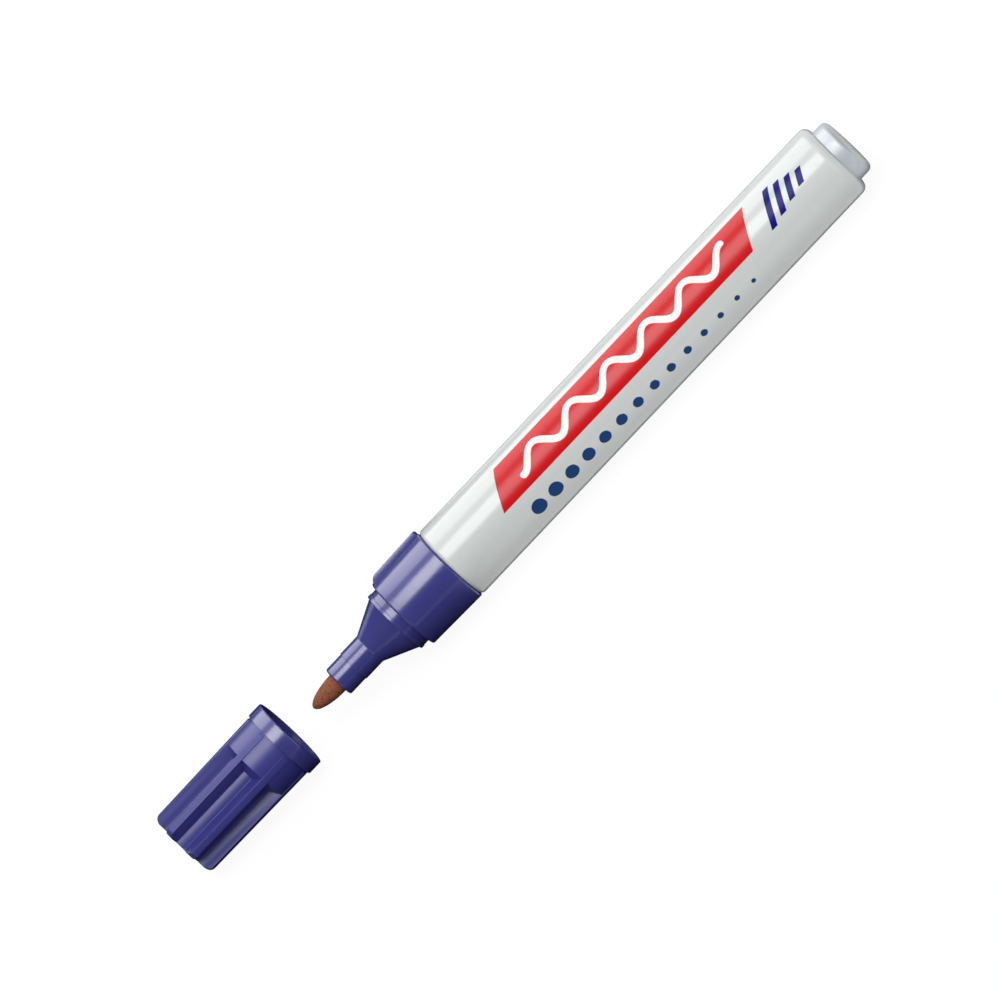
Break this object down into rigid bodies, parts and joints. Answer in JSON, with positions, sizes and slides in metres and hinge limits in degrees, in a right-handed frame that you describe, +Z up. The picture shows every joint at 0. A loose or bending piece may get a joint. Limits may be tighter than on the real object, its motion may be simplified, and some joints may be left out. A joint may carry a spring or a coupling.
{
  "type": "uv marker pen",
  "caption": "Bullet-nib UV marker: a silver aluminium barrel, a violet nib holder with an anti-roll lug and a ribbed violet cap that slides on over the nib.",
  "frame": {"origin": "middle of the barrel, on the pen's axis", "axes": "+X along the pen toward the tail, nib and cap toward -X; +Z up as the pen lies on a table; the lug points between +Y and +Z"},
  "size_m": [0.1662, 0.0152, 0.0152],
  "materials": {
    "barrel_lacquer": "silver lacquer, satin gloss",
    "violet_plastic": "moulded, satin gloss",
    "nib_fibre": "pressed fibre, matt",
    "core_fibre": "bonded fibre, matt",
    "wrap_film": "clear to milky film",
    "seal_plastic": "soft moulding, matt"
  },
  "bodies": {
    "pen": {"barrel": "barrel_lacquer", "nib_holder": "violet_plastic", "nib": "nib_fibre", "ink_core": "core_fibre", "core_wrap": "wrap_film"},
    "cap": {"cap": "violet_plastic", "inner_cap": "seal_plastic"}
  },
  "joints": [
    {"name": "cap_slide", "type": "slide", "parent": "pen", "child": "cap", "axis": [1, 0, 0], "range_m": [0, 0.02803]}
  ]
}
